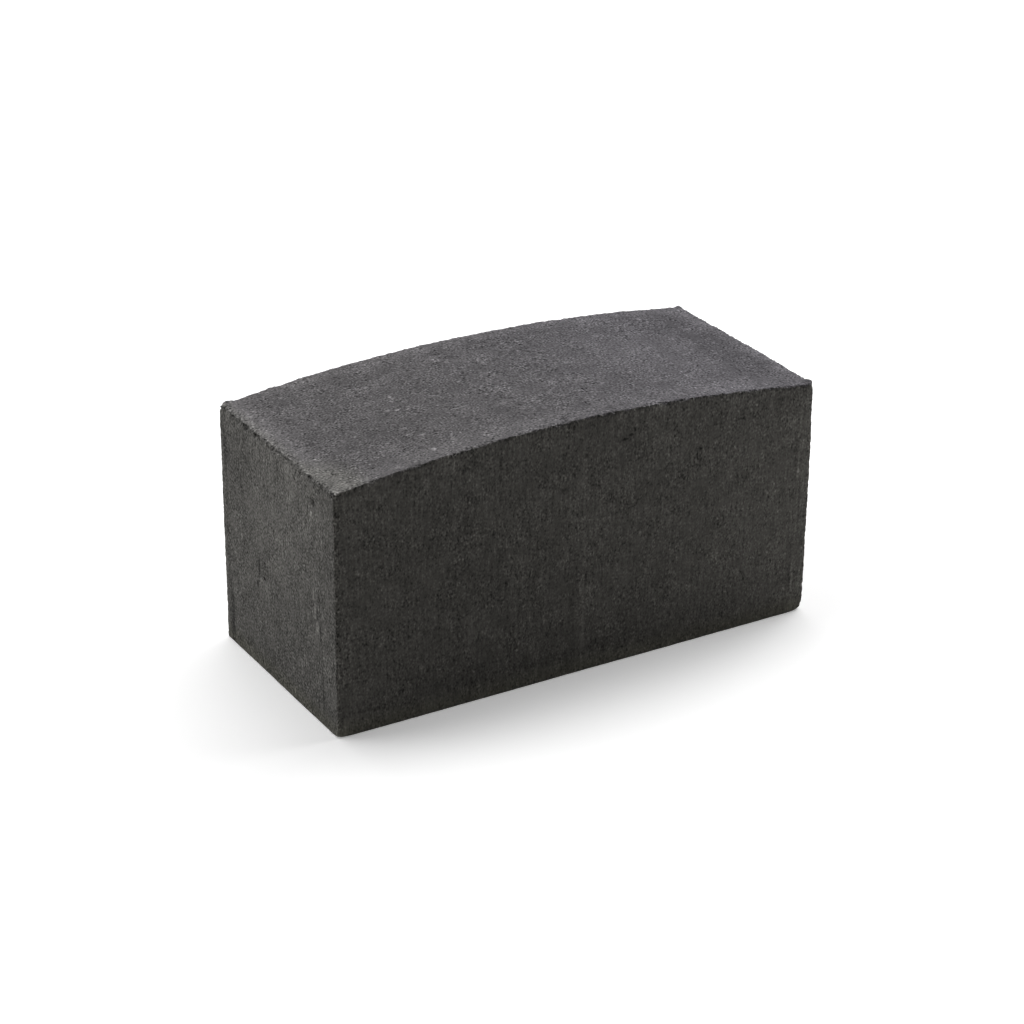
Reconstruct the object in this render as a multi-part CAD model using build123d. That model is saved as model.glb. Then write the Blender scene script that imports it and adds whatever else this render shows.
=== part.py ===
from build123d import *
import os

# Main sizes in millimetres
paver_length = 212.5
paver_width = 95.0
end_height = 100.0
crown_rise = 7.5

# Edge wear in millimetres
corner_radius = 1.6
arris_radius = 1.2

# Values that follow from the sizes
half_length = paver_length / 2
crown_height = end_height + crown_rise


def side_profile():
    """Draw the long side: a flat bed, two upright ends and an arched top."""
    with BuildSketch(Plane.XZ) as profile:
        with BuildLine():
            Line((-half_length, 0), (half_length, 0))
            Line((half_length, 0), (half_length, end_height))
            ThreePointArc(
                (half_length, end_height),
                (0, crown_height),
                (-half_length, end_height),
            )
            Line((-half_length, end_height), (-half_length, 0))
        make_face()
    return profile.sketch


def upright_edges(block):
    """Find the four upright edges where the ends meet the long sides."""
    return block.edges().filter_by(Axis.Z)


def top_rim_edges(block):
    """Find the edges around the arched top, all above the bed."""
    arched_face = block.faces().sort_by(Axis.Z)[-1]
    return arched_face.edges()


def make_paver():
    """Build the block, then soften its upright corners and its top rim."""
    block = extrude(side_profile(), amount=paver_width / 2, both=True)
    block = fillet(upright_edges(block), radius=corner_radius)
    block = fillet(top_rim_edges(block), radius=arris_radius)
    return block


paver = make_paver()
paver.label = "paver"

os.makedirs("parts", exist_ok=True)
export_step(paver, "parts/paver.step")
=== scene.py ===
"""Looks of a dry-pressed concrete paver: worn block mesh, concrete finish, ground, light and camera."""
import logging
import math
from dataclasses import dataclass, field
from enum import Enum

import bmesh
import bpy
import numpy as np
from mathutils import Matrix, Vector


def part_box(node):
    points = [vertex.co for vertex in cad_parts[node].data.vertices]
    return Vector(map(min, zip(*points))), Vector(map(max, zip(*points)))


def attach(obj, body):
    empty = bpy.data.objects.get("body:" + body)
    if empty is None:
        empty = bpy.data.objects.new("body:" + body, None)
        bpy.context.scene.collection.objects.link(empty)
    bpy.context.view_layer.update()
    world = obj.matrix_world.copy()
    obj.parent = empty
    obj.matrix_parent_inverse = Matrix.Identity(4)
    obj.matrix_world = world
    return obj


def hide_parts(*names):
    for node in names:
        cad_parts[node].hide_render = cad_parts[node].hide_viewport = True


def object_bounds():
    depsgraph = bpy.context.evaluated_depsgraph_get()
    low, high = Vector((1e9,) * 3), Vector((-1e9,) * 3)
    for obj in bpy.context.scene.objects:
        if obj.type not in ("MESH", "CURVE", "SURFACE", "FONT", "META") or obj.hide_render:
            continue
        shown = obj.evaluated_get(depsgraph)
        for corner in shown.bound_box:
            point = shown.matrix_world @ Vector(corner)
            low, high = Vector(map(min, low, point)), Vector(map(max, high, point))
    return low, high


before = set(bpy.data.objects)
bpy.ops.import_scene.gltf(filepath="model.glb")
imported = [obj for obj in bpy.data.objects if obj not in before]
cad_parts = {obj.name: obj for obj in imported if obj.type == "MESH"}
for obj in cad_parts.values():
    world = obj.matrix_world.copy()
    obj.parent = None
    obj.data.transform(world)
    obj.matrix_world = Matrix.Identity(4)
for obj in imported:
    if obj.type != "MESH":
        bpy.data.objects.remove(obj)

LOG = logging.getLogger("paver")
MM = 0.001
CAD_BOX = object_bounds()
Socket = bpy.types.NodeSocket
MIDDLE = Vector((0.0, 0.0, 50.0 * MM))


class Skin(Enum):
    """The two surfaces that pressing gives a paver."""

    SIDES = "sides"
    TOP = "top"


class Edge(Enum):
    """The arrises of the block, apart from those round its bed."""

    LEFT_RIM = "left rim"
    RIGHT_RIM = "right rim"
    FRONT_RIM = "front rim"
    BACK_RIM = "back rim"
    UPRIGHT = "upright"


@dataclass(frozen=True)
class Arris:
    """How an arris is worn, in millimetres: its rounding, its chips, and its crumbs' depth and reach."""

    edge: Edge
    blend: float
    chips: float
    crumbs: float
    reach: float


@dataclass(frozen=True)
class CornerWear:
    """A corner worn rounder than the rest, or with a negative extra less, with sizes in millimetres."""

    place: tuple[float, float, float]
    reach: float
    extra: float


@dataclass(frozen=True)
class Dent:
    """A small hollow, or with a negative depth a small burr, with sizes in millimetres."""

    place: tuple[float, float, float]
    size: tuple[float, float, float]
    depth: float

    def away(self, points: np.ndarray) -> np.ndarray:
        """Distance of places in metres from the middle, where 1 is the rim of the dent."""
        return np.linalg.norm((points / MM - np.array(self.place)) / np.array(self.size), axis=1)


@dataclass(frozen=True)
class Mark:
    """A patch, band or speck that is lighter or darker than the rest, with sizes in millimetres."""

    skin: Skin
    place: tuple[float, float, float]
    size: tuple[float, float, float]
    tone: float
    core: float = 0.3

    def small(self) -> bool:
        """Whether the mark is so small that only a fine wobble suits its outline."""
        return min(self.size) < 1.5

    def laid(self, bench: "NodeBench", vector: Socket, total: object) -> Socket:
        """Add the mark to a running tone.

        Args:
            bench: where the nodes are made.
            vector: places on the block.
            total: the tone so far.

        Returns:
            The tone with the mark in it.
        """
        scale = tuple(1.0 / (half * MM) for half in self.size)
        shift = tuple(-at * MM * by for at, by in zip(self.place, scale))
        away = bench.length(bench.stretched(vector, scale, shift))
        return bench.maths("MULTIPLY_ADD", bench.ramp(away, 1.0, self.core), self.tone, total)


def on_front(
    x: float, z: float, wide: float, high: float, tone: float, core: float = 0.3, deep: float = 4.0
) -> Mark:
    """Place a mark on the front face, with its half sizes in millimetres."""
    return Mark(Skin.SIDES, (x, -47.5, z), (wide, deep, high), tone, core)


def on_left(
    y: float, z: float, wide: float, high: float, tone: float, core: float = 0.3, deep: float = 3.0
) -> Mark:
    """Place a mark on the left end, with its half sizes in millimetres."""
    return Mark(Skin.SIDES, (-106.2, y, z), (deep, wide, high), tone, core)


@dataclass
class LatticeNoise:
    """Smooth repeatable noise on a wrapped lattice of random values."""

    seed: int
    period: int = 61
    table: np.ndarray = field(init=False)

    def __post_init__(self) -> None:
        """Fill the lattice."""
        shape = (self.period, self.period, self.period)
        self.table = np.random.default_rng(self.seed).uniform(-1.0, 1.0, shape)

    def at(self, points: np.ndarray, cell: tuple[float, float, float]) -> np.ndarray:
        """Sample the noise.

        Args:
            points: places in metres, one row each.
            cell: lattice spacing along X, Y and Z, in millimetres.

        Returns:
            One value from -1 to 1 for each place.
        """
        scaled = points / (np.array(cell) * MM) + self.seed
        low = np.floor(scaled).astype(int)
        part = scaled - low
        part = part * part * (3.0 - 2.0 * part)
        total = np.zeros(len(points))
        for corner in range(8):
            step = np.array([corner & 1, (corner >> 1) & 1, (corner >> 2) & 1])
            weight = np.prod(np.where(step, part, 1.0 - part), axis=1)
            node = (low + step) % self.period
            total += weight * self.table[node[:, 0], node[:, 1], node[:, 2]]
        return total

    def even(self, points: np.ndarray, cell: float) -> np.ndarray:
        """Sample the noise with the same spacing along all three axes."""
        return self.at(points, (cell, cell, cell))


@dataclass
class BlockForm:
    """Shape of the block as a distance to its surface, with wear along its arrises."""

    length: float
    width: float
    end_height: float = 100.0 * MM
    crown_height: float = 107.5 * MM
    droop: float = 0.8 * MM
    droop_from: tuple[float, float] = (-10.0 * MM, -12.5 * MM)
    foot_blend: float = 0.6
    least_blend: float = 0.15
    upright_share: float = 0.4
    foot_share: float = 0.3
    rim_turn: float = 3.0 * MM
    arrises: tuple[Arris, ...] = ()
    corner_wear: tuple[CornerWear, ...] = ()

    def arch_radius(self) -> float:
        """Radius of the arched top."""
        rise = self.crown_height - self.end_height
        return ((self.length / 2) ** 2 + rise**2) / (2 * rise)

    def top_over(self, points: np.ndarray) -> np.ndarray:
        """Height of the arched top, with its slight droop to the right along the front rim.

        Args:
            points: places in metres, one row each.

        Returns:
            One height in metres for each place.
        """
        radius = self.arch_radius()
        inside = np.clip(points[:, 0], -self.length / 2, self.length / 2)
        arch = self.crown_height - radius + np.sqrt(radius**2 - inside**2)
        to_right = eased(inside, self.droop_from[0], self.length / 2)
        to_front = eased(points[:, 1], self.droop_from[1], -self.width / 2)
        return arch - self.droop * to_right * to_front

    def worn(self, points: np.ndarray) -> np.ndarray:
        """Extra rounding near the worn corners.

        Args:
            points: places in metres, one row each.

        Returns:
            One width in millimetres for each place.
        """
        total = np.zeros(len(points))
        for wear in self.corner_wear:
            away = np.linalg.norm(points / MM - np.array(wear.place), axis=1) / wear.reach
            total += wear.extra * np.exp(-(away**2))
        return total

    def spans(self, points: np.ndarray) -> dict[Edge, np.ndarray]:
        """Distance of places on the sharp block from each kind of arris.

        Args:
            points: places in metres, one row each.

        Returns:
            The distances in metres, for each kind of arris.
        """
        x, y, z = points.T
        left, right = self.length / 2 + x, self.length / 2 - x
        front, back = self.width / 2 + y, self.width / 2 - y
        below_top = self.top_over(points) - z
        return {
            Edge.LEFT_RIM: np.maximum(left, below_top),
            Edge.RIGHT_RIM: np.maximum(right, below_top),
            Edge.FRONT_RIM: np.maximum(front, below_top),
            Edge.BACK_RIM: np.maximum(back, below_top),
            Edge.UPRIGHT: np.maximum(np.minimum(left, right), np.minimum(front, back)),
        }

    def rounding(self, points: np.ndarray, chipped: np.ndarray) -> "Rounding":
        """Work out how widely each kind of arris is rounded near each place.

        Args:
            points: places on the sharp block.
            chipped: 0 where an arris is whole, about 1 where it is chipped.

        Returns:
            The rounding of the rim, the uprights and the foot.
        """
        spans = self.spans(points)
        worn = self.worn(points)
        rim = np.zeros(len(points))
        weights = np.full(len(points), 1e-9)
        upright = rim
        for arris in self.arrises:
            width = arris.blend + arris.chips * chipped
            if arris.edge is Edge.UPRIGHT:
                upright = width + self.upright_share * worn
                continue
            weight = np.exp(-((spans[arris.edge] / self.rim_turn) ** 2))
            rim = rim + weight * width
            weights += weight
        rim = rim / weights + worn + self.foot_blend * (weights < 1e-6)
        widths = (rim, upright, self.foot_blend + self.foot_share * worn)
        return Rounding(*(np.maximum(width, self.least_blend) * MM for width in widths))

    def distance(self, points: np.ndarray, rounding: "Rounding") -> np.ndarray:
        """Signed distance to the rounded block, negative inside.

        Args:
            points: places, one row each.
            rounding: how widely the arrises near each place are rounded.

        Returns:
            One distance for each place.
        """
        x, y, z = points.T
        ends = np.abs(x) - self.length / 2
        sides = np.abs(y) - self.width / 2
        walls = smooth_most(ends, sides, rounding.upright)
        upper = smooth_most(walls, z - self.top_over(points), rounding.rim)
        return smooth_most(upper, -z, rounding.foot)


@dataclass(frozen=True)
class Rounding:
    """Widths in metres over which the rim, the uprights and the foot are rounded near each place."""

    rim: np.ndarray
    upright: np.ndarray
    foot: np.ndarray


def eased(value: np.ndarray, start: float, end: float) -> np.ndarray:
    """Ease from 0 to 1 as value goes from start to end."""
    part = np.clip((value - start) / (end - start), 0.0, 1.0)
    return part * part * (3.0 - 2.0 * part)


def smooth_most(first: np.ndarray, second: np.ndarray, blend: np.ndarray | float) -> np.ndarray:
    """The larger of two distances, rounded over where they are nearly equal.

    Args:
        first: one distance for each place.
        second: the other distance.
        blend: width of the rounding.

    Returns:
        The blended distance.
    """
    near = np.clip(blend - np.abs(first - second), 0.0, None)
    return np.maximum(first, second) + near**2 / (4.0 * blend)


def stops(low: float, high: float, step: float, fine: float, at_low: int, at_high: int) -> np.ndarray:
    """Places along one axis, closer together near its ends.

    Args:
        low: first place.
        high: last place.
        step: spacing in the middle.
        fine: spacing at the ends.
        at_low: how many fine steps at the low end.
        at_high: how many fine steps at the high end.

    Returns:
        Rising places from low to high.
    """
    start = low + fine * np.arange(at_low + 1)
    finish = high - fine * np.arange(at_high + 1)[::-1]
    count = round((finish[0] - start[-1]) / step)
    middle = np.linspace(start[-1], finish[0], count + 1)
    return np.concatenate([start[:-1], middle, finish[1:]])


@dataclass
class PaverBlock:
    """The paver: a block with drag-marked sides, a tamped arched top and crumbly arrises."""

    form: BlockForm
    finish: "ConcreteFinish"
    dents: tuple[Dent, ...] = ()
    step: float = 1.6 * MM
    fine: float = 0.36 * MM
    rim_steps: int = 10
    foot_steps: int = 4
    rim_band: float = 2.3 * MM
    rim_cuts: int = 3
    inset: float = 0.08 * MM
    wave_depth: float = 0.06
    bump_depth: float = 0.05
    drag_depth: float = 0.03
    side_bumps: float = 0.45
    more_on_top: float = 0.75
    top_skin: float = 0.6 * MM
    marching_steps: int = 12

    def lattice(self) -> tuple[np.ndarray, np.ndarray]:
        """Lay a closed grid over the sharp block.

        Returns:
            The grid's places, and its faces as index quadruples.
        """
        half_length = self.form.length / 2
        half_width = self.form.width / 2
        along = stops(-half_length, half_length, self.step, self.fine, self.rim_steps, self.rim_steps)
        across = stops(-half_width, half_width, self.step, self.fine, self.rim_steps, self.rim_steps)
        up = stops(0.0, self.form.end_height, self.step, self.fine, self.foot_steps, self.rim_steps)
        last = (len(along) - 1, len(across) - 1, len(up) - 1)
        i, j, k = np.meshgrid(*(np.arange(n + 1) for n in last), indexing="ij")
        outer = (i == 0) | (i == last[0]) | (j == 0) | (j == last[1]) | (k == 0) | (k == last[2])
        number = np.full(outer.shape, -1)
        number[outer] = np.arange(outer.sum())
        points = np.stack([along[i[outer]], across[j[outer]], up[k[outer]]], axis=1)
        points[:, 2] *= self.form.top_over(points) / self.form.end_height
        faces = []
        for sheet, turned in (
            (number[:, :, -1], False),
            (number[:, :, 0], True),
            (number[-1, :, :], False),
            (number[0, :, :], True),
            (number[:, -1, :], True),
            (number[:, 0, :], False),
        ):
            ring = [sheet[:-1, :-1], sheet[1:, :-1], sheet[1:, 1:], sheet[:-1, 1:]]
            order = ring[::-1] if turned else ring
            faces.append(np.stack([part.ravel() for part in order], axis=1))
        return points, np.concatenate(faces)

    def needs_detail(self, points: np.ndarray) -> np.ndarray:
        """Tell which places lie near an arris above the bed, or in a dent.

        Args:
            points: places on the sharp block.

        Returns:
            True for each place that needs a finer mesh.
        """
        near = np.min(list(self.form.spans(points).values()), axis=0) < self.rim_band
        for dent in self.dents:
            near |= dent.away(points) < 2.0
        return near

    def refined(self, points: np.ndarray, faces: np.ndarray) -> tuple[np.ndarray, list[list[int]]]:
        """Split the grid's long edges where crumbs and dents need a finer mesh.

        Args:
            points: the grid's places.
            faces: its faces as index quadruples.

        Returns:
            The places and faces of the finer grid.
        """
        mesh = bpy.data.meshes.new("grid")
        mesh.from_pydata(points.tolist(), [], faces.tolist())
        grid = bmesh.new()
        grid.from_mesh(mesh)
        near = self.needs_detail(points)
        long_edges = [
            edge for edge in grid.edges
            if all(near[vert.index] for vert in edge.verts) and edge.calc_length() > 2.0 * self.fine
        ]
        bmesh.ops.subdivide_edges(grid, edges=long_edges, cuts=self.rim_cuts, use_grid_fill=True)
        finer = np.array([vert.co[:] for vert in grid.verts])
        rings = [[vert.index for vert in face.verts] for face in grid.faces]
        grid.free()
        bpy.data.meshes.remove(mesh)
        return finer, rings

    def inward(self, points: np.ndarray, margin: float = 5.0 * MM) -> np.ndarray:
        """Directions to the inside, square to a face or slanting at an arris.

        Args:
            points: places on the sharp block.
            margin: how far from a face's edge the slant begins.

        Returns:
            One unit vector for each place.
        """
        half = np.array([self.form.length / 2, self.form.width / 2])
        core = points.copy()
        core[:, :2] = np.clip(points[:, :2], margin - half, half - margin)
        core[:, 2] = np.clip(points[:, 2], margin, self.form.top_over(points) - margin)
        way = core - points
        return way / np.linalg.norm(way, axis=1, keepdims=True)

    def relief(self, points: np.ndarray) -> np.ndarray:
        """Depth of the surface below the plain block: waves, drag marks, crumbs, burrs and dents.

        Args:
            points: places on the sharp block.

        Returns:
            One depth in metres for each place.
        """
        below_top = self.form.top_over(points) - points[:, 2]
        on_top = np.clip(1.0 - below_top / self.top_skin, 0.0, 1.0)
        waves = self.wave_depth * LatticeNoise(11).even(points, 19.0)
        bumps = self.bump_depth * LatticeNoise(12).even(points, 3.1)
        drag = self.drag_depth * LatticeNoise(13).at(points, (2.6, 2.6, 30.0))
        depth = waves + bumps * (self.side_bumps + self.more_on_top * on_top) + drag * (1.0 - on_top)
        crumbs = LatticeNoise(14).even(points, 0.9) + LatticeNoise(15).even(points, 1.8) + 0.3
        spans = self.form.spans(points)
        crumbly = np.zeros(len(points))
        for arris in self.form.arrises:
            near = np.exp(-((spans[arris.edge] / (arris.reach * MM)) ** 2))
            crumbly = np.maximum(crumbly, arris.crumbs * near)
        depth += crumbly * crumbs
        for dent in self.dents:
            depth += dent.depth * np.exp(-(dent.away(points) ** 2))
        return self.inset + depth * MM

    def chipped(self, points: np.ndarray) -> np.ndarray:
        """How chipped the arrises are.

        Args:
            points: places on the sharp block.

        Returns:
            0 along whole stretches, about 1 in the worst places.
        """
        slow = LatticeNoise(23).even(points, 9.0)
        quick = LatticeNoise(24).even(points, 2.6)
        fine = LatticeNoise(25).even(points, 1.2)
        return np.clip(0.25 + 0.4 * slow + 0.6 * quick + 0.7 * fine, 0.0, None)

    def shape(self) -> bpy.types.Object:
        """Build the worn block as one closed mesh.

        Returns:
            The new object.
        """
        sharp, faces = self.refined(*self.lattice())
        way = self.inward(sharp)
        rounding = self.form.rounding(sharp, self.chipped(sharp))
        relief = self.relief(sharp)
        points = sharp.copy()
        for _ in range(self.marching_steps):
            gap = self.form.distance(points, rounding) + relief
            points += way * gap[:, None]
        underside = sharp[:, 2] <= 0.0
        points[underside, 2] -= self.inset
        points = np.clip(points, np.array(CAD_BOX[0]), np.array(CAD_BOX[1]))
        mesh = bpy.data.meshes.new("paver_block")
        mesh.from_pydata(points.tolist(), [], faces)
        mesh.shade_smooth()
        block = bpy.data.objects.new("paver_block", mesh)
        bpy.context.scene.collection.objects.link(block)
        return block

    def build(self) -> bpy.types.Object:
        """Make the block, dress it and put it in the place of the plain solid.

        Returns:
            The dressed block.
        """
        block = self.shape()
        block.data.materials.append(self.finish.build(self.form))
        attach(block, "root")
        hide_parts("paver")
        LOG.info("block of %d faces", len(block.data.polygons))
        return block


@dataclass
class NodeBench:
    """Places and joins shader nodes in one node tree."""

    tree: bpy.types.NodeTree

    def node(self, kind: str, **settings: object) -> bpy.types.Node:
        """Add a node and set its plain properties.

        Args:
            kind: type of the node.
            settings: its properties, by name.

        Returns:
            The new node.
        """
        made = self.tree.nodes.new(kind)
        for name, value in settings.items():
            setattr(made, name, value)
        return made

    def join(self, source: object, socket: Socket) -> None:
        """Feed a socket.

        Args:
            source: another socket, or a plain value.
            socket: what it feeds.
        """
        if isinstance(source, Socket):
            self.tree.links.new(source, socket)
        else:
            socket.default_value = source

    def maths(self, how: str, first: object, second: object = 0.0, third: object = 0.0) -> Socket:
        """Work out one number.

        Args:
            how: name of the operation.
            first: first operand, a socket or a number.
            second: second operand.
            third: third operand, where the operation has one.

        Returns:
            The result's socket.
        """
        made = self.node("ShaderNodeMath", operation=how)
        for value, socket in zip((first, second, third), made.inputs):
            self.join(value, socket)
        return made.outputs[0]

    def parts(self, vector: Socket) -> tuple[Socket, ...]:
        """Take a vector apart.

        Args:
            vector: the vector.

        Returns:
            Its X, Y and Z.
        """
        made = self.node("ShaderNodeSeparateXYZ")
        self.join(vector, made.inputs[0])
        return tuple(made.outputs)

    def ramp(
        self, value: object, start: float, end: float, low: float = 0.0, high: float = 1.0
    ) -> Socket:
        """Ease from one number to another.

        Args:
            value: what drives it.
            start: value at which it begins.
            end: value at which it is done.
            low: result at the start.
            high: result at the end.

        Returns:
            The eased number.
        """
        made = self.node("ShaderNodeMapRange", interpolation_type="SMOOTHSTEP")
        names = ("Value", "From Min", "From Max", "To Min", "To Max")
        for source, name in zip((value, start, end, low, high), names):
            self.join(source, made.inputs[name])
        return made.outputs["Result"]

    def stretched(
        self, vector: Socket, scale: tuple[float, ...], shift: tuple[float, ...] = (0.0, 0.0, 0.0)
    ) -> Socket:
        """Scale and then shift a place, so that what is laid on it is stretched and moved.

        Args:
            vector: the place.
            scale: factors along X, Y and Z.
            shift: what is added to X, Y and Z after that.

        Returns:
            The new place.
        """
        made = self.node("ShaderNodeVectorMath", operation="MULTIPLY_ADD")
        self.join(vector, made.inputs[0])
        made.inputs[1].default_value = scale
        made.inputs[2].default_value = shift
        return made.outputs[0]

    def length(self, vector: Socket) -> Socket:
        """Measure a vector.

        Args:
            vector: the vector.

        Returns:
            Its length.
        """
        made = self.node("ShaderNodeVectorMath", operation="LENGTH")
        self.join(vector, made.inputs[0])
        return made.outputs["Value"]

    def wobbled(self, vector: Socket, size: float, amount: float) -> Socket:
        """Shift places about by a noise, so that what is laid on them has ragged edges.

        Args:
            vector: the places.
            size: size of the noise's lumps.
            amount: full width of the shift.

        Returns:
            The moved places.
        """
        made = self.node("ShaderNodeTexNoise", noise_dimensions="3D")
        self.join(vector, made.inputs["Vector"])
        made.inputs["Scale"].default_value = 1.0 / size
        made.inputs["Detail"].default_value = 2.0
        centred = self.node("ShaderNodeVectorMath", operation="SUBTRACT")
        self.join(made.outputs["Color"], centred.inputs[0])
        centred.inputs[1].default_value = (0.5, 0.5, 0.5)
        moved = self.node("ShaderNodeVectorMath", operation="MULTIPLY_ADD")
        self.join(centred.outputs[0], moved.inputs[0])
        moved.inputs[1].default_value = (amount, amount, amount)
        self.join(vector, moved.inputs[2])
        return moved.outputs[0]

    def grain(self, vector: Socket, size: float, detail: float = 0.0, roughness: float = 0.5) -> Socket:
        """Soft noise from about -1 to 1.

        Args:
            vector: places to lay it on.
            size: size of its lumps in metres.
            detail: how many finer layers it has.
            roughness: weight of each finer layer.

        Returns:
            The noise.
        """
        made = self.node("ShaderNodeTexNoise", noise_dimensions="3D")
        self.join(vector, made.inputs["Vector"])
        made.inputs["Scale"].default_value = 1.0 / size
        made.inputs["Detail"].default_value = detail
        made.inputs["Roughness"].default_value = roughness
        return self.maths("MULTIPLY_ADD", made.outputs["Fac"], 4.0, -2.0)

    def specks(self, vector: Socket, size: float, share: float, width: float) -> Socket:
        """Scattered round specks.

        Args:
            vector: places to lay them on.
            size: mean spacing in metres.
            share: share of the cells that hold a speck.
            width: radius of a speck, as a share of the spacing.

        Returns:
            1 in a speck, 0 outside.
        """
        made = self.node("ShaderNodeTexVoronoi", feature="F1")
        self.join(vector, made.inputs["Vector"])
        made.inputs["Scale"].default_value = 1.0 / size
        spot = self.ramp(made.outputs["Distance"], width, 0.4 * width)
        pick = self.node("ShaderNodeSeparateColor")
        self.join(made.outputs["Color"], pick.inputs["Color"])
        chosen = self.maths("LESS_THAN", pick.outputs["Red"], share)
        return self.maths("MULTIPLY", spot, chosen)

    def sparse(self, value: Socket) -> Socket:
        """Square a noise and keep its sign, so that it is calm with few strong spots."""
        return self.maths("MULTIPLY", value, self.maths("ABSOLUTE", value))

    def tears(self, vector: Socket, size: float, width: float) -> Socket:
        """Thin curved lines, in scattered short stretches.

        Args:
            vector: places to lay them on.
            size: size of their bends in metres.
            width: how wide they are, as a share of that size.

        Returns:
            1 in a line, 0 outside.
        """
        line = self.ramp(self.maths("ABSOLUTE", self.grain(vector, size, 1.0)), width, 0.3 * width)
        return self.maths("MULTIPLY", line, self.ramp(self.grain(vector, 2.2 * size), 0.0, 0.5))

    def summed(self, terms: list[tuple[object, float]], start: object = 0.0) -> Socket:
        """Add up weighted values.

        Args:
            terms: the values with their weights.
            start: what they are added to.

        Returns:
            The total.
        """
        total = start
        for value, weight in terms:
            total = self.maths("MULTIPLY_ADD", value, weight, total)
        return total

    def blend(self, share: object, first: object, second: object) -> Socket:
        """Mix two numbers.

        Args:
            share: share of the second.
            first: one number.
            second: the other number.

        Returns:
            The mixed number.
        """
        made = self.node("ShaderNodeMix", data_type="FLOAT")
        for source, index in ((share, 0), (first, 2), (second, 3)):
            self.join(source, made.inputs[index])
        return made.outputs[0]

    def tint(self, share: object, first: object, second: object) -> Socket:
        """Mix two colours.

        Args:
            share: share of the second.
            first: one colour.
            second: the other colour.

        Returns:
            The mixed colour.
        """
        made = self.node("ShaderNodeMix", data_type="RGBA")
        for source, index in ((share, 0), (first, 6), (second, 7)):
            self.join(source, made.inputs[index])
        return made.outputs[2]

    def shaded(self, colour: object, factor: object) -> Socket:
        """Lighten or darken a colour.

        Args:
            colour: the colour.
            factor: what it is multiplied by.

        Returns:
            The new colour.
        """
        made = self.node("ShaderNodeVectorMath", operation="SCALE")
        self.join(colour, made.inputs[0])
        self.join(factor, made.inputs["Scale"])
        return made.outputs[0]


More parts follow.
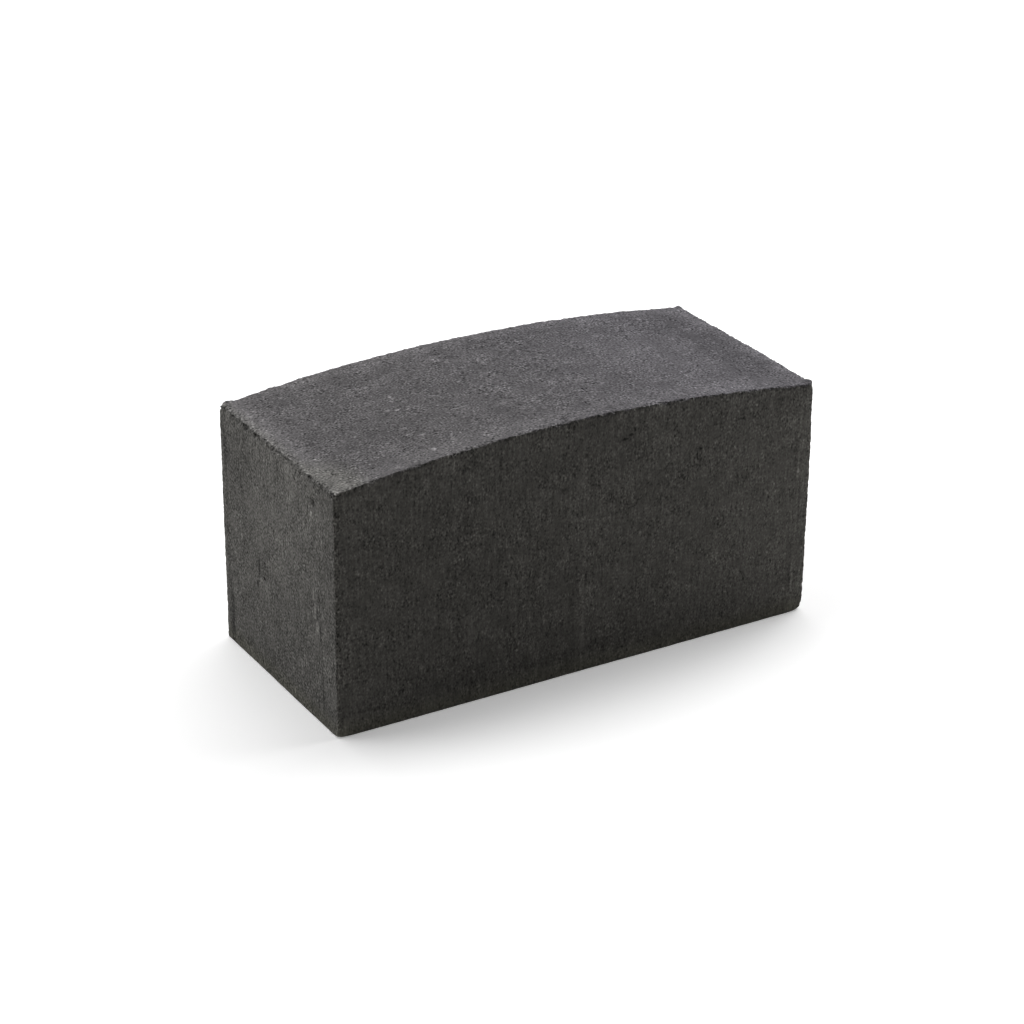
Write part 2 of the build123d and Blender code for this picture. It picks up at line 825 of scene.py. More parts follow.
@dataclass(frozen=True)
class ConcreteFinish:
    """Charcoal concrete: sandy tamped top that pales towards its rim, sides with upright drag marks;
    light and shade painted along the rim, into pores and dents, and across the sides.
    """

    side_colour: tuple[float, float, float, float] = (0.0992, 0.0967, 0.0928, 1.0)
    # Warmer near the bed: painted light that offsets the cool shade at the foot.
    painted_foot_light_colour: tuple[float, float, float, float] = (0.0992, 0.0967, 0.0852, 1.0)
    left_top_colour: tuple[float, float, float, float] = (0.1068, 0.1024, 0.1046, 1.0)
    right_top_colour: tuple[float, float, float, float] = (0.1068, 0.1024, 0.1102, 1.0)
    dusty_colour: tuple[float, float, float, float] = (0.1052, 0.1024, 0.0976, 1.0)
    roughness: float = 0.92
    roughness_spread: float = 0.04
    shine: float = 0.06
    darkest: float = 0.3
    upright_scale: float = 0.68
    streak_scale: float = 0.16
    drawn_scale: float = 0.05
    drawn_tone: float = 0.10
    # Painted shade in the pores and tears.
    pore_shade_tone: float = -0.17
    # Painted shadow under the top's arris and in bites into the top's edge; painted highlight on crumbs
    # below the arris and along the crest.
    lip_shadow_tone: float = -0.70
    hanging_highlight_tone: float = 1.3
    crest_highlight_tone: float = 0.25
    bite_shade_tone: float = -0.55
    rim_paint_elsewhere: float = 0.4
    left_turn: float = 1.0 * MM
    painted_foot_light_height: float = 10.0 * MM
    marks: tuple[Mark, ...] = ()
    dusty_corner: Mark = Mark(Skin.TOP, (-101.0, -40.0, 101.0), (15.0, 28.0, 20.0), 1.0)

    def build(self, form: BlockForm) -> bpy.types.Material:
        """Make the material.

        Args:
            form: shape of the block, for where its arrises run.

        Returns:
            The finished material.
        """
        material = bpy.data.materials.new("charcoal_concrete")
        material.use_nodes = True
        bench = NodeBench(material.node_tree)
        skin = material.node_tree.nodes["Principled BSDF"]
        skin.inputs["Specular IOR Level"].default_value = self.shine
        place = bench.node("ShaderNodeTexCoord").outputs["Object"]
        upright = bench.stretched(place, (1.0, 1.0, self.upright_scale))
        streaked = bench.stretched(place, (1.0, 1.0, self.streak_scale))
        pores = self.pores(bench, upright)
        crumble = bench.grain(place, 1.9 * MM, 2.0)
        edge = self.past_arris(bench, form, place, crumble)
        on_top = bench.ramp(edge, -0.3 * MM, 0.15 * MM)
        at_end = self.at_end(bench, form, place)
        uneven = self.uneven(bench, place, at_end)
        drawn = bench.grain(bench.stretched(place, (1.0, 1.0, self.drawn_scale)), 1.1 * MM)
        drawn = bench.maths("MULTIPLY", drawn, bench.maths("SUBTRACT", 1.0, at_end))
        side_tone = self.side_grain(bench, place, upright, streaked, uneven)
        side_tone = bench.summed([(drawn, self.drawn_tone)], side_tone)
        pores = bench.maths("MULTIPLY", pores, uneven)
        broad = bench.wobbled(place, 2.5 * MM, 2.0 * MM)
        close = bench.wobbled(place, 1.0 * MM, 0.5 * MM)
        side_tone = self.marked(bench, Skin.SIDES, broad, close, side_tone)
        top_tone = self.top_grain(bench, place, uneven)
        crumbly = bench.ramp(crumble, -1.0, 0.5, 0.7, 1.15)
        pale = bench.maths("MULTIPLY", self.pale_rim(bench, form, place), crumbly)
        top_tone = self.marked(bench, Skin.TOP, broad, close, bench.maths("ADD", top_tone, pale))
        # Painted shade and highlight along the rim.
        side_tone, top_tone = self.rim_shade_and_highlight(bench, form, place, edge, (side_tone, top_tone))
        # The pores and tears get painted shade.
        tone = bench.summed([(pores, self.pore_shade_tone)], bench.blend(on_top, side_tone, top_tone))
        colour = bench.tint(on_top, self.sides_colour(bench, place), self.top_colour(bench, form, place))
        half = bench.maths("MAXIMUM", bench.maths("MULTIPLY_ADD", tone, 0.5, 1.0), self.darkest)
        bench.join(bench.shaded(colour, bench.maths("MULTIPLY", half, half)), skin.inputs["Base Color"])
        wear = bench.grain(place, 6.0 * MM, 1.0)
        rough = bench.maths("MULTIPLY_ADD", wear, self.roughness_spread, self.roughness)
        bench.join(rough, skin.inputs["Roughness"])
        bump = bench.node("ShaderNodeBump")
        bump.inputs["Strength"].default_value = 1.0
        bump.inputs["Distance"].default_value = MM
        bench.join(self.pitting(bench, place, upright, streaked, uneven), bump.inputs["Height"])
        bench.join(bump.outputs["Normal"], skin.inputs["Normal"])
        return material

    def pores(self, bench: NodeBench, upright: Socket) -> Socket:
        """Scatter pores and short tears.

        Args:
            bench: where the nodes are made.
            upright: places on the block, drawn out a little along the height.

        Returns:
            1 in a pore or a tear, 0 outside.
        """
        ragged = bench.wobbled(upright, 0.9 * MM, 0.8 * MM)
        holes = bench.specks(ragged, 3.2 * MM, 0.35, 0.13)
        return bench.maths("MAXIMUM", holes, bench.tears(upright, 2.0 * MM, 0.16))

    def rim_shade_and_highlight(
        self, bench: NodeBench, form: BlockForm, place: Socket, edge: Socket, tones: tuple[Socket, Socket]
    ) -> tuple[Socket, Socket]:
        """Paint shade and highlight along the rim's two sides, in ragged teeth: painted shadow under the
        arris and in bites into the top's edge, painted highlight on crumbs below the arris and along the
        crest.

        Args:
            bench: where the nodes are made.
            form: shape of the block.
            place: places on the block.
            edge: distance past the top's arris.
            tones: tones of the sides and the top so far.

        Returns:
            The tones of the sides and the top with the rim's painted shade and highlight in them.
        """
        side_tone, top_tone = tones
        torn = bench.grain(bench.stretched(place, (1.0, 1.0, 0.5)), 1.4 * MM, 1.0)
        share = self.facing_front(bench, form, place)
        dark_teeth = bench.maths("MULTIPLY", bench.ramp(torn, -0.2, 0.7, 0.25, 1.0), share)
        pale_teeth = bench.maths("MULTIPLY", bench.ramp(torn, -0.3, -0.9), share)
        lip = bench.maths("MULTIPLY", bench.ramp(edge, -1.8 * MM, -0.3 * MM), dark_teeth)
        hanging = bench.maths("MULTIPLY", bench.ramp(edge, -1.5 * MM, -0.5 * MM), pale_teeth)
        side_tone = bench.summed([(lip, self.lip_shadow_tone), (hanging, self.hanging_highlight_tone)], side_tone)
        bites = bench.maths("MULTIPLY", bench.ramp(edge, 1.3 * MM, 0.3 * MM), dark_teeth)
        crest = bench.ramp(edge, 1.3 * MM, 0.2 * MM)
        top_tone = bench.summed([(crest, self.crest_highlight_tone), (bites, self.bite_shade_tone)], top_tone)
        return side_tone, top_tone

    def facing_front(self, bench: NodeBench, form: BlockForm, place: Socket) -> Socket:
        """Pick out the front face, where the rim's painted shade and highlight are strongest.

        Args:
            bench: where the nodes are made.
            form: shape of the block.
            place: places on the block.

        Returns:
            1 on the front face and less on the others.
        """
        _, y, _ = bench.parts(place)
        front = -form.width / 2
        return bench.ramp(y, front + 2.5 * MM, front + 1.0 * MM, self.rim_paint_elsewhere, 1.0)

    def sides_colour(self, bench: NodeBench, place: Socket) -> Socket:
        """Colour the sides, a little warmer near the bed, as painted light that offsets the cool shade at
        the foot.

        Args:
            bench: where the nodes are made.
            place: places on the block.

        Returns:
            The colour.
        """
        _, _, z = bench.parts(place)
        low = bench.ramp(z, self.painted_foot_light_height, 1.0 * MM)
        return bench.tint(low, self.side_colour, self.painted_foot_light_colour)

    def top_colour(self, bench: NodeBench, form: BlockForm, place: Socket) -> Socket:
        """Colour the top: cooler to the right, dusty along its left rim and in its front left corner.

        Args:
            bench: where the nodes are made.
            form: shape of the block.
            place: places on the block.

        Returns:
            The colour.
        """
        x, _, _ = bench.parts(place)
        to_right = bench.ramp(x, -70.0 * MM, 90.0 * MM)
        colour = bench.tint(to_right, self.left_top_colour, self.right_top_colour)
        dusty = bench.ramp(bench.maths("ADD", x, form.length / 2), 6.0 * MM, 1.0 * MM, 0.0, 0.7)
        dusty = bench.maths("MINIMUM", self.dusty_corner.laid(bench, place, dusty), 1.0)
        return bench.tint(dusty, colour, self.dusty_colour)

    def at_end(self, bench: NodeBench, form: BlockForm, place: Socket) -> Socket:
        """Pick out the two end faces.

        Args:
            bench: where the nodes are made.
            form: shape of the block.
            place: places on the block.

        Returns:
            1 on the end faces and 0 on the long sides.
        """
        x, _, _ = bench.parts(place)
        along = bench.maths("ABSOLUTE", x)
        return bench.ramp(along, form.length / 2 - 3.0 * MM, form.length / 2 - 0.5 * MM)

    def uneven(self, bench: NodeBench, place: Socket, at_end: Socket) -> Socket:
        """How rough each area is.

        Args:
            bench: where the nodes are made.
            place: places on the block.
            at_end: 1 on the end faces, which are rougher than the long sides.

        Returns:
            Near 0 where the face is smooth, over 1 where it is open and sandy.
        """
        rough = bench.summed(
            [
                (bench.grain(place, 9.0 * MM), 0.30),
                (bench.grain(place, 2.8 * MM), 0.26),
                (at_end, 0.62),
            ],
            1.0,
        )
        return bench.maths("MAXIMUM", rough, 0.2)

    def side_grain(
        self, bench: NodeBench, place: Socket, upright: Socket, streaked: Socket, uneven: Socket
    ) -> Socket:
        """Tone of the sides, where the mould dragged the sand upwards.

        Args:
            bench: where the nodes are made.
            place: places on the block.
            upright: the places, drawn out a little along the height.
            streaked: the places, drawn out far along the height.
            uneven: how rough each area is.

        Returns:
            The tone.
        """
        sand = bench.grain(upright, 0.62 * MM)
        rough = bench.summed(
            [
                (bench.sparse(sand), 0.22),
                (sand, 0.21),
                (bench.sparse(bench.grain(streaked, 0.9 * MM)), 0.13),
                (bench.grain(upright, 1.3 * MM, 1.0), 0.04),
                (bench.grain(place, 4.5 * MM), 0.066),
                (bench.grain(place, 8.0 * MM, 1.0), 0.08),
                (bench.specks(upright, 4.6 * MM, 0.25, 0.12), 0.30),
            ]
        )
        return bench.summed(
            [
                (bench.maths("MULTIPLY", rough, uneven), 1.0),
                (bench.grain(place, 20.0 * MM, 1.0), 0.06),
            ]
        )

    def top_grain(self, bench: NodeBench, place: Socket, uneven: Socket) -> Socket:
        """Tone of the sandy top.

        Args:
            bench: where the nodes are made.
            place: places on the block.
            uneven: how rough each area is.

        Returns:
            The tone.
        """
        sand = bench.grain(place, 0.78 * MM)
        rough = bench.summed(
            [
                (bench.sparse(sand), 0.33),
                (sand, 0.30),
                (bench.grain(place, 1.3 * MM, 1.0), 0.20),
                (bench.grain(place, 3.2 * MM), 0.06),
                (bench.specks(place, 4.2 * MM, 0.28, 0.14), 0.42),
            ]
        )
        return bench.summed(
            [
                (bench.maths("MULTIPLY", rough, uneven), 1.0),
                (bench.grain(place, 9.0 * MM, 1.0), 0.14),
                (bench.grain(place, 20.0 * MM, 1.0), 0.09),
            ]
        )

    def pitting(
        self, bench: NodeBench, place: Socket, upright: Socket, streaked: Socket, uneven: Socket
    ) -> Socket:
        """Height of the sand grains and fine drag marks.

        Args:
            bench: where the nodes are made.
            place: places on the block.
            upright: the places, drawn out a little along the height.
            streaked: the places, drawn out far along the height.
            uneven: how rough each area is.

        Returns:
            The height in millimetres.
        """
        grains = bench.summed(
            [
                (bench.grain(place, 0.7 * MM, 1.0), 0.022),
                (bench.grain(upright, 1.6 * MM, 1.0), 0.026),
                (bench.grain(streaked, 1.5 * MM), 0.016),
            ]
        )
        return bench.maths("MULTIPLY", grains, uneven)

    def marked(self, bench: NodeBench, skin: Skin, broad: Socket, close: Socket, tone: Socket) -> Socket:
        """Lay the marks of one skin over its tone.

        Args:
            bench: where the nodes are made.
            skin: whose marks are laid.
            broad: places with a broad wobble, for the large marks.
            close: places with a fine wobble, for the small ones.
            tone: the tone so far.

        Returns:
            The tone with the marks in it.
        """
        for mark in self.marks:
            if mark.skin is skin:
                tone = mark.laid(bench, close if mark.small() else broad, tone)
        return tone

    def past_arris(self, bench: NodeBench, form: BlockForm, place: Socket, crumble: Socket) -> Socket:
        """How far the top's arris lies behind a place, with a ragged line along it.

        Args:
            bench: where the nodes are made.
            form: shape of the block.
            place: places on the block.
            crumble: noise that makes the line ragged.

        Returns:
            The distance in metres, above 0 on the top and below 0 on the sides.
        """
        x, y, z = bench.parts(place)
        radius = form.arch_radius()
        rise = bench.maths("SQRT", bench.maths("SUBTRACT", radius**2, bench.maths("MULTIPLY", x, x)))
        to_right = bench.ramp(x, form.droop_from[0], form.length / 2, 0.0, form.droop)
        drop = bench.maths("MULTIPLY", to_right, bench.ramp(y, form.droop_from[1], -form.width / 2))
        below_top = bench.maths("SUBTRACT", bench.maths("ADD", rise, form.crown_height - radius), z)
        below_top = bench.maths("SUBTRACT", below_top, drop)
        from_right = bench.maths("SUBTRACT", form.length / 2, x)
        from_left = bench.maths("ADD", x, form.length / 2 - self.left_turn)
        from_side = bench.maths("SUBTRACT", form.width / 2, bench.maths("ABSOLUTE", y))
        from_wall = bench.maths("MINIMUM", bench.maths("MINIMUM", from_left, from_right), from_side)
        past = bench.maths("SUBTRACT", from_wall, below_top)
        return bench.maths("MULTIPLY_ADD", crumble, 0.9 * MM, past)

    def pale_rim(self, bench: NodeBench, form: BlockForm, place: Socket) -> Socket:
        """Pale the top near its edges: widest along the front, strongest at the left.

        Args:
            bench: where the nodes are made.
            form: shape of the block.
            place: places on the block.

        Returns:
            The extra tone.
        """
        x, y, _ = bench.parts(place)
        total: object = 0.0
        for from_edge, width, share in (
            (bench.maths("ADD", x, form.length / 2), 13.0 * MM, 0.35),
            (bench.maths("SUBTRACT", form.length / 2, x), 10.0 * MM, 0.17),
            (bench.maths("ADD", y, form.width / 2), 15.5 * MM, 0.19),
            (bench.maths("SUBTRACT", form.width / 2, y), 10.0 * MM, 0.20),
        ):
            total = bench.maths("MAXIMUM", total, bench.ramp(from_edge, width, 0.4 * width, 0.0, share))
        return total


@dataclass
class Ground:
    """A pale floor that keeps the block's shadow and shows white around it."""

    reach: float = 6.0
    paint: tuple[float, float, float, float] = (1.0, 1.0, 1.0, 1.0)
    bounce: tuple[float, float, float, float] = (0.812, 0.8, 0.755, 1.0)
    lift: float = 0.27
    # Painted light that fades the block's shadow in front and to the left.
    front_lift: float = 0.11
    left_lift: float = 0.04
    shadow_reach: float = 0.28
    white_from: float = 0.6

    def build(self) -> bpy.types.Object:
        """Lay the floor and paint it.

        Returns:
            The floor.
        """
        mesh = bpy.data.meshes.new("floor")
        corners = [(-1, -1), (1, -1), (1, 1), (-1, 1)]
        mesh.from_pydata([(x * self.reach, y * self.reach, 0.0) for x, y in corners], [], [(0, 1, 2, 3)])
        floor = bpy.data.objects.new("floor", mesh)
        bpy.context.scene.collection.objects.link(floor)
        floor.data.materials.append(self.painted())
        LOG.info("floor")
        return floor

    def painted(self) -> bpy.types.Material:
        """Make the floor's paint: white where it is seen, greyer in the light it throws back.

        Returns:
            The paint.
        """
        material = bpy.data.materials.new("pale_floor")
        material.use_nodes = True
        bench = NodeBench(material.node_tree)
        bench.tree.nodes.clear()
        seen = bench.node("ShaderNodeBsdfDiffuse")
        seen.inputs["Color"].default_value = self.paint
        glow = bench.node("ShaderNodeEmission")
        place = bench.node("ShaderNodeTexCoord").outputs["Object"]
        bench.join(self.glow(bench, place), glow.inputs["Strength"])
        shown = bench.node("ShaderNodeAddShader")
        bench.join(seen.outputs[0], shown.inputs[0])
        bench.join(glow.outputs[0], shown.inputs[1])
        dull = bench.node("ShaderNodeBsdfDiffuse")
        dull.inputs["Color"].default_value = self.bounce
        pick = bench.node("ShaderNodeMixShader")
        bench.join(seen_directly(bench), pick.inputs[0])
        bench.join(dull.outputs[0], pick.inputs[1])
        bench.join(shown.outputs[0], pick.inputs[2])
        end = bench.node("ShaderNodeOutputMaterial")
        bench.join(pick.outputs[0], end.inputs["Surface"])
        return material

    def glow(self, bench: NodeBench, place: Socket) -> Socket:
        """Lift the floor's white above what the lamps give it.

        Args:
            bench: where the nodes are made.
            place: places on the floor.

        Returns:
            The lift: full far away, less in the block's shadow.
        """
        x, y, _ = bench.parts(place)
        left, front = CAD_BOX[0][0], CAD_BOX[0][1]
        # Painted light: the glow rises away from the block's front and left faces, fading its shadow
        # there.
        in_front = bench.ramp(y, front - 2.0 * MM, front - 42.0 * MM, 0.0, self.front_lift)
        at_left = bench.ramp(x, left - 2.0 * MM, left - 60.0 * MM, 0.0, self.left_lift)
        far = bench.ramp(bench.length(place), self.shadow_reach, self.white_from, self.lift, 1.0)
        return bench.maths("ADD", far, bench.maths("MAXIMUM", in_front, at_left))


def seen_directly(bench: NodeBench) -> Socket:
    """Tell what the camera sees from what only throws light.

    Args:
        bench: where the nodes are made.

    Returns:
        1 for what the camera sees, straight or through a gloss or a glass.
    """
    path = bench.node("ShaderNodeLightPath")
    total = bench.maths("ADD", path.outputs["Is Camera Ray"], path.outputs["Is Glossy Ray"])
    total = bench.maths("ADD", total, path.outputs["Is Transmission Ray"])
    return bench.maths("MINIMUM", total, 1.0)


def aim(bearing: float, height: float) -> Vector:
    """Direction to a lamp with a bearing from +X towards +Y and a height over the floor, in degrees."""
    turn, rise = math.radians(bearing), math.radians(height)
    return Vector((math.cos(rise) * math.cos(turn), math.cos(rise) * math.sin(turn), math.sin(rise)))


@dataclass(frozen=True)
class SkyLamp:
    """A broad far lamp, with its strength as the share of white that it gives a surface facing it."""

    name: str
    bearing: float
    height: float
    strength: float
    spread: float

    def build(self) -> bpy.types.Object:
        """Hang the lamp.

        Returns:
            The lamp's object.
        """
        lamp = bpy.data.lights.new(self.name, "SUN")
        lamp.energy = self.strength * math.pi
        lamp.angle = math.radians(self.spread)
        return hang(self.name, lamp, aim(self.bearing, self.height), 1.0)


@dataclass(frozen=True)
class SoftBox:
    """A square lamp close by, with its power in watts."""

    name: str
    bearing: float
    height: float
    power: float
    distance: float = 0.75
    size: float = 0.6

    def build(self) -> bpy.types.Object:
        """Hang the lamp.

        Returns:
            The lamp's object.
        """
        lamp = bpy.data.lights.new(self.name, "AREA")
        lamp.shape = "SQUARE"
        lamp.size = self.size
        lamp.energy = self.power
        return hang(self.name, lamp, aim(self.bearing, self.height), self.distance)


def hang(name: str, lamp: bpy.types.Light, way: Vector, distance: float) -> bpy.types.Object:
    """Hang a lamp so that it shines on the middle of the block.

    Args:
        name: name of the lamp.
        lamp: what shines.
        way: direction from the block to the lamp.
        distance: how far away it hangs.

    Returns:
        The lamp's object.
    """
    hung = bpy.data.objects.new(name, lamp)
    hung.rotation_euler = way.to_track_quat("Z", "Y").to_euler()
    hung.location = way * distance + MIDDLE
    hung.visible_camera = False
    bpy.context.scene.collection.objects.link(hung)
    LOG.info("lamp %s", name)
    return hung


@dataclass(frozen=True)
class Studio:
    """Soft lamps behind and beside the block, and an even white surround."""

    surround: float = 0.02
    lamps: tuple[SkyLamp | SoftBox, ...] = (
        SkyLamp("low_lamp", 150.0, 14.0, 0.395, 40.0),
        SkyLamp("high_lamp", 45.0, 60.0, 0.399, 50.0),
        SoftBox("right_box", 0.0, 30.0, 3.04),
        SoftBox("back_box", 135.0, 60.0, 2.52),
    )

    def build(self) -> None:
        """Hang the lamps and light the surround."""
        world = bpy.data.worlds.new("surround")
        world.use_nodes = True
        bpy.context.scene.world = world
        bench = NodeBench(world.node_tree)
        background = world.node_tree.nodes["Background"]
        background.inputs["Color"].default_value = (1.0, 1.0, 1.0, 1.0)
        bench.join(bench.blend(seen_directly(bench), self.surround, 1.0), background.inputs["Strength"])
        for lamp in self.lamps:
            lamp.build()


@dataclass(frozen=True)
class PhotoCamera:
    """The camera, set by the bearing and height it looks from and by where the bed's centre shows."""

    bearing: float = -30.921
    height: float = 25.339
    roll: float = -0.518
    aside: float = 2.467 * MM
    above: float = -44.451 * MM
    distance: float = 1103.767 * MM
    focal_pixels: float = 2738.252
    picture_pixels: float = 1024.0
    sensor: float = 36.0
    sight: float = 100.0

    def axes(self) -> Matrix:
        """Work out which way the camera is turned.

        Returns:
            Its right, up and backward directions, one row each.
        """
        turn, rise, roll = (math.radians(a) for a in (self.bearing, self.height, self.roll))
        level = math.cos(rise)
        back = Vector((math.sin(turn) * level, -math.cos(turn) * level, math.sin(rise)))
        right = Vector((math.cos(turn), math.sin(turn), 0.0))
        up = back.cross(right)
        return Matrix.Rotation(roll, 3, "Z") @ Matrix((right, up, back))

    def build(self) -> bpy.types.Object:
        """Make the camera and look through it.

        Returns:
            The camera.
        """
        lens = bpy.data.cameras.new("photo_camera")
        lens.sensor_width = self.sensor
        lens.lens = self.focal_pixels * self.sensor / self.picture_pixels
        lens.clip_end = self.sight
        camera = bpy.data.objects.new("photo_camera", lens)
        turned = self.axes().transposed()
        eye = -(turned @ Vector((self.aside, self.above, -self.distance)))
        camera.matrix_world = Matrix.Translation(eye) @ turned.to_4x4()
        bpy.context.scene.collection.objects.link(camera)
        bpy.context.scene.camera = camera
        LOG.info("camera")
        return camera


ARRISES = (
    Arris(Edge.LEFT_RIM, blend=1.2, chips=1.0, crumbs=0.50, reach=2.2),
    Arris(Edge.RIGHT_RIM, blend=0.35, chips=0.4, crumbs=0.16, reach=1.2),
    Arris(Edge.FRONT_RIM, blend=0.12, chips=1.0, crumbs=0.48, reach=0.9),
    Arris(Edge.BACK_RIM, blend=0.35, chips=0.9, crumbs=0.14, reach=1.0),
    Arris(Edge.UPRIGHT, blend=0.6, chips=0.2, crumbs=0.08, reach=1.3),
)

CORNER_WEAR = (
    CornerWear((106.2, -47.5, 0.0), 4.0, 5.5),
    CornerWear((-106.2, -47.5, 0.0), 3.5, 4.0),
    CornerWear((-106.2, 47.5, 100.0), 4.0, -1.2),
    CornerWear((106.2, -47.5, 99.0), 2.0, 1.6),
)

DENTS = (
    Dent((-9.0, -47.5, 80.0), (2.0, 2.0, 1.5), 0.55),
    Dent((72.0, -47.5, 92.0), (2.6, 2.0, 0.8), 0.3),
    Dent((20.8, -47.5, 96.3), (1.6, 2.0, 1.0), 0.3),
    Dent((-106.2, -31.0, 90.6), (2.0, 1.6, 1.8), 0.5),
    Dent((-106.2, 16.3, 44.5), (2.0, 0.9, 5.0), 0.25),
    Dent((-106.2, 12.0, 41.0), (2.0, 2.0, 0.9), 0.25),
    Dent((-106.2, 24.9, 99.6), (1.6, 0.8, 1.2), 0.6),
    Dent((-106.2, 16.6, 99.8), (1.6, 0.9, 1.1), 0.6),
    Dent((-106.2, 5.5, 99.4), (1.6, 0.8, 1.3), 0.6),
    Dent((-106.2, -16.2, 99.6), (1.6, 1.0, 1.2), 0.7),
    Dent((-106.2, -30.0, 99.6), (1.6, 1.0, 1.1), 0.6),
    Dent((-102.0, 29.0, 100.4), (2.0, 2.4, 1.5), -0.35),
    Dent((-103.0, 12.0, 100.4), (1.8, 2.4, 1.5), -0.35),
    Dent((-103.0, 47.0, 100.0), (1.6, 1.6, 1.6), -0.7),
    Dent((105.0, 47.0, 100.0), (1.4, 1.4, 1.4), -0.7),
    Dent((105.2, -44.5, 100.2), (2.2, 2.6, 1.4), -1.5),
    Dent((106.2, -47.5, 99.3), (1.3, 1.3, 1.0), 0.7),
    Dent((106.2, -47.5, 92.0), (3.0, 3.0, 12.0), 0.3),
)

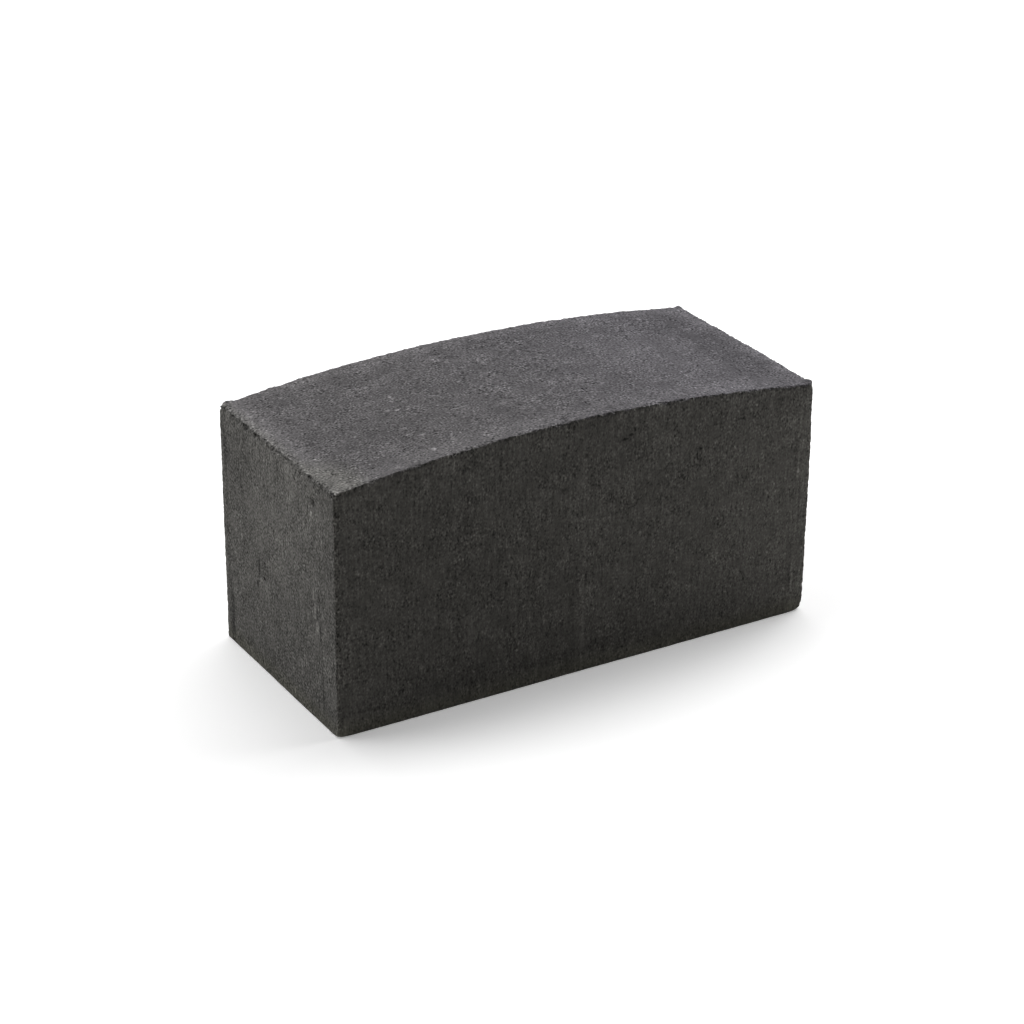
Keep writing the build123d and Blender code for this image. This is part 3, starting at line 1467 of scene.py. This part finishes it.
# Along the face and above the bed, half the width and height, then the tone and the share at full tone.
MARKS = (
    on_front(0.4, 45.0, 1.8, 75.0, 0.20, 0.1),
    on_front(0.4, 15.0, 1.8, 45.0, 0.08, 0.1),
    on_front(-1.5, 10.0, 3.4, 38.0, 0.11, 0.0),
    on_front(-0.2, 90.0, 3.6, 22.0, 0.17, 0.0),
    on_front(-5.0, 25.0, 2.4, 55.0, -0.12),
    on_front(100.5, 88.0, 1.0, 13.0, 0.35, 0.0),
    on_front(100.3, 66.0, 0.9, 15.0, 0.50, 0.0),
    on_front(100.6, 40.0, 0.9, 20.0, 0.35, 0.0),
    on_front(100.2, 15.0, 1.0, 17.0, 0.45, 0.0),
    on_front(98.6, 64.0, 1.2, 22.0, -0.28, 0.0),
    on_front(98.8, 20.0, 1.2, 24.0, -0.28, 0.0),
    on_front(104.5, 50.0, 4.0, 130.0, 0.14),
    on_front(97.5, 85.0, 1.1, 1.3, 0.5),
    on_front(99.8, 79.0, 0.9, 1.6, 0.6),
    on_front(101.4, 73.5, 1.2, 1.2, 0.6),
    on_front(100.6, 63.0, 0.8, 1.2, 0.8),
    on_front(100.2, 17.0, 0.8, 2.0, 0.5),
    # Painted shade in the front's dents and chips, on this line and the next four.
    on_front(-9.0, 80.0, 2.6, 1.9, -0.35, deep=3.0),
    on_front(72.0, 92.0, 3.0, 0.9, -0.6, deep=3.0),
    on_front(22.2, 98.3, 0.8, 1.6, -0.9, deep=3.0),
    on_front(20.6, 96.2, 1.5, 0.9, -0.9, deep=3.0),
    on_front(17.6, 94.9, 2.2, 0.8, -0.8, deep=3.0),
    on_front(-56.0, 58.0, 8.0, 7.0, -0.16, deep=3.0),
    on_front(6.0, 66.0, 7.0, 8.0, 0.14, deep=3.0),
    on_front(-29.0, 17.0, 0.9, 0.9, 1.1, deep=3.0),
    on_front(-70.4, 20.8, 1.6, 1.2, 0.5, deep=3.0),
    # Painted shade: the front darker towards the bottom.
    on_front(0.0, 0.0, 80.0, 32.0, -0.05, 0.0),
    # Painted light: the front's bottom strip lighter, offsetting the shade at the bed.
    on_front(-60.0, 0.0, 220.0, 10.5, 0.74, 0.0),
    # Painted light on the front's right part and painted shade on its left part, on this line and the
    # next.
    on_front(95.0, 45.0, 70.0, 110.0, 0.22, 0.0),
    on_front(-60.0, 50.0, 80.0, 60.0, -0.12, 0.0),
    # Painted shade in the dent.
    on_left(-31.0, 90.6, 1.8, 2.2, -0.8),
    on_left(-29.5, 85.6, 1.1, 1.5, 1.5, 0.5),
    on_left(-29.8, 53.0, 0.8, 3.4, 0.65, 0.6),
    on_left(-30.9, 46.5, 0.8, 4.4, 0.6, 0.6),
    on_left(-32.6, 40.0, 1.2, 3.8, 0.65, 0.6),
    on_left(-34.4, 52.5, 0.9, 4.8, -0.5, 0.5),
    on_left(-33.2, 47.0, 1.3, 1.3, -0.6, 0.5),
    on_left(-35.2, 39.0, 0.9, 6.5, -0.5, 0.5),
    on_left(-36.2, 18.0, 1.0, 26.0, -0.3),
    on_left(-37.4, 80.0, 0.7, 15.0, 0.25),
    on_left(-40.5, 30.0, 5.5, 50.0, 0.06),
    # Painted shade in the dent.
    on_left(16.3, 44.5, 0.9, 5.5, -0.9, 0.4),
    on_left(14.6, 39.2, 2.6, 0.9, 0.5),
    # Painted shade in the dent.
    on_left(12.0, 41.0, 2.1, 0.9, -1.1, 0.4),
    on_left(17.9, 36.4, 1.0, 1.9, -1.1, 0.4),
    on_left(10.3, 37.7, 1.2, 2.3, 0.55, 0.6),
    on_left(1.4, 38.0, 1.2, 1.8, -0.8),
    on_left(-0.8, 39.0, 1.2, 1.0, 0.5),
    on_left(43.4, 50.0, 1.9, 120.0, -0.26),
    on_left(41.4, 4.0, 2.0, 38.0, -0.6),
    on_left(43.5, 79.0, 2.0, 9.0, -0.22),
    # Painted light on the upper left end and painted shade towards its bottom, on this line and the next
    # two.
    on_left(-2.0, 79.0, 44.0, 55.0, 0.20, 0.0, deep=4.0),
    on_left(0.0, 0.0, 70.0, 45.0, -0.12, 0.0, deep=4.0),
    on_left(-34.0, 0.0, 22.0, 26.0, -0.10, 0.0, deep=4.0),
    # Painted shade in the rim notches, on this line and the next four.
    on_left(24.9, 98.6, 0.9, 1.0, -0.4),
    on_left(16.6, 98.7, 1.1, 0.9, -0.5),
    on_left(5.5, 98.5, 0.9, 1.1, -0.4),
    on_left(-16.2, 98.6, 1.2, 0.9, -0.5),
    on_left(-30.0, 98.7, 1.2, 0.8, -0.4),
    on_left(31.0, 80.0, 16.0, 20.0, -0.24, 0.0, deep=4.0),
    on_left(-13.0, 93.0, 14.0, 13.0, 0.26, 0.0, deep=4.0),
    on_left(31.0, 32.0, 9.0, 18.0, 0.09, 0.0, deep=4.0),
    on_left(0.0, 32.0, 13.0, 24.0, -0.09, 0.0, deep=4.0),
    on_front(-96.0, 11.0, 14.0, 15.0, 0.20, 0.0),
    on_front(-10.0, 90.0, 24.0, 13.0, -0.15, 0.0),
    on_front(-8.0, 50.0, 10.0, 11.0, 0.14, 0.0),
    Mark(Skin.TOP, (-101.8, 29.3, 100.5), (2.0, 2.6, 3.0), 0.55),
    Mark(Skin.TOP, (-103.0, 23.8, 100.4), (1.3, 1.8, 3.0), 0.45),
    Mark(Skin.TOP, (-104.6, 44.5, 100.0), (2.6, 4.5, 6.0), -0.45),
    Mark(Skin.TOP, (-103.2, 12.2, 100.4), (1.8, 2.8, 3.0), 0.45),
    Mark(Skin.TOP, (-103.6, -0.5, 100.4), (1.3, 2.2, 3.0), 0.35),
    Mark(Skin.TOP, (-100.5, -43.0, 100.7), (4.0, 4.0, 3.0), 0.25),
    Mark(Skin.TOP, (-58.3, 0.0, 105.5), (1.3, 1.5, 3.0), 1.0),
    Mark(Skin.TOP, (-55.2, -1.7, 105.5), (1.5, 1.2, 3.0), 1.0),
    Mark(Skin.TOP, (-52.0, 10.0, 105.5), (1.0, 2.4, 3.0), 0.8),
    Mark(Skin.TOP, (-57.8, -26.2, 105.5), (2.0, 1.0, 3.0), 1.0),
    Mark(Skin.TOP, (-60.5, -39.6, 105.5), (1.6, 1.5, 3.0), 1.0),
    Mark(Skin.TOP, (-55.4, 23.3, 105.5), (1.2, 1.2, 3.0), 0.7, 0.5),
    Mark(Skin.TOP, (-27.0, 29.0, 106.5), (0.8, 1.6, 3.0), 0.7, 0.5),
    Mark(Skin.TOP, (56.0, -8.0, 105.0), (32.0, 48.0, 20.0), 0.14, 0.0),
    Mark(Skin.TOP, (92.0, -5.0, 102.0), (14.0, 70.0, 20.0), -0.15),
    Mark(Skin.TOP, (5.0, 36.0, 107.0), (52.0, 16.0, 20.0), -0.10, 0.0),
    Mark(Skin.TOP, (72.0, 32.0, 104.0), (26.0, 24.0, 20.0), -0.13, 0.0),
    Mark(Skin.TOP, (101.0, 31.0, 101.0), (8.0, 17.0, 20.0), 0.15, 0.0),
    Mark(Skin.TOP, (-99.0, -29.0, 101.0), (6.0, 18.0, 20.0), 0.20, 0.0),
)


def block_form() -> BlockForm:
    """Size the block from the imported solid."""
    low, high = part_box("paver")
    return BlockForm(high[0] - low[0], high[1] - low[1], arrises=ARRISES, corner_wear=CORNER_WEAR)


def main() -> None:
    """Build the block, the ground, the light and the camera."""
    logging.basicConfig(level=logging.INFO, format="%(message)s")
    bpy.context.scene.view_settings.view_transform = "Standard"
    PaverBlock(block_form(), ConcreteFinish(marks=MARKS), DENTS).build()
    Ground().build()
    Studio().build()
    PhotoCamera().build()


if __name__ == "__main__":
    main()
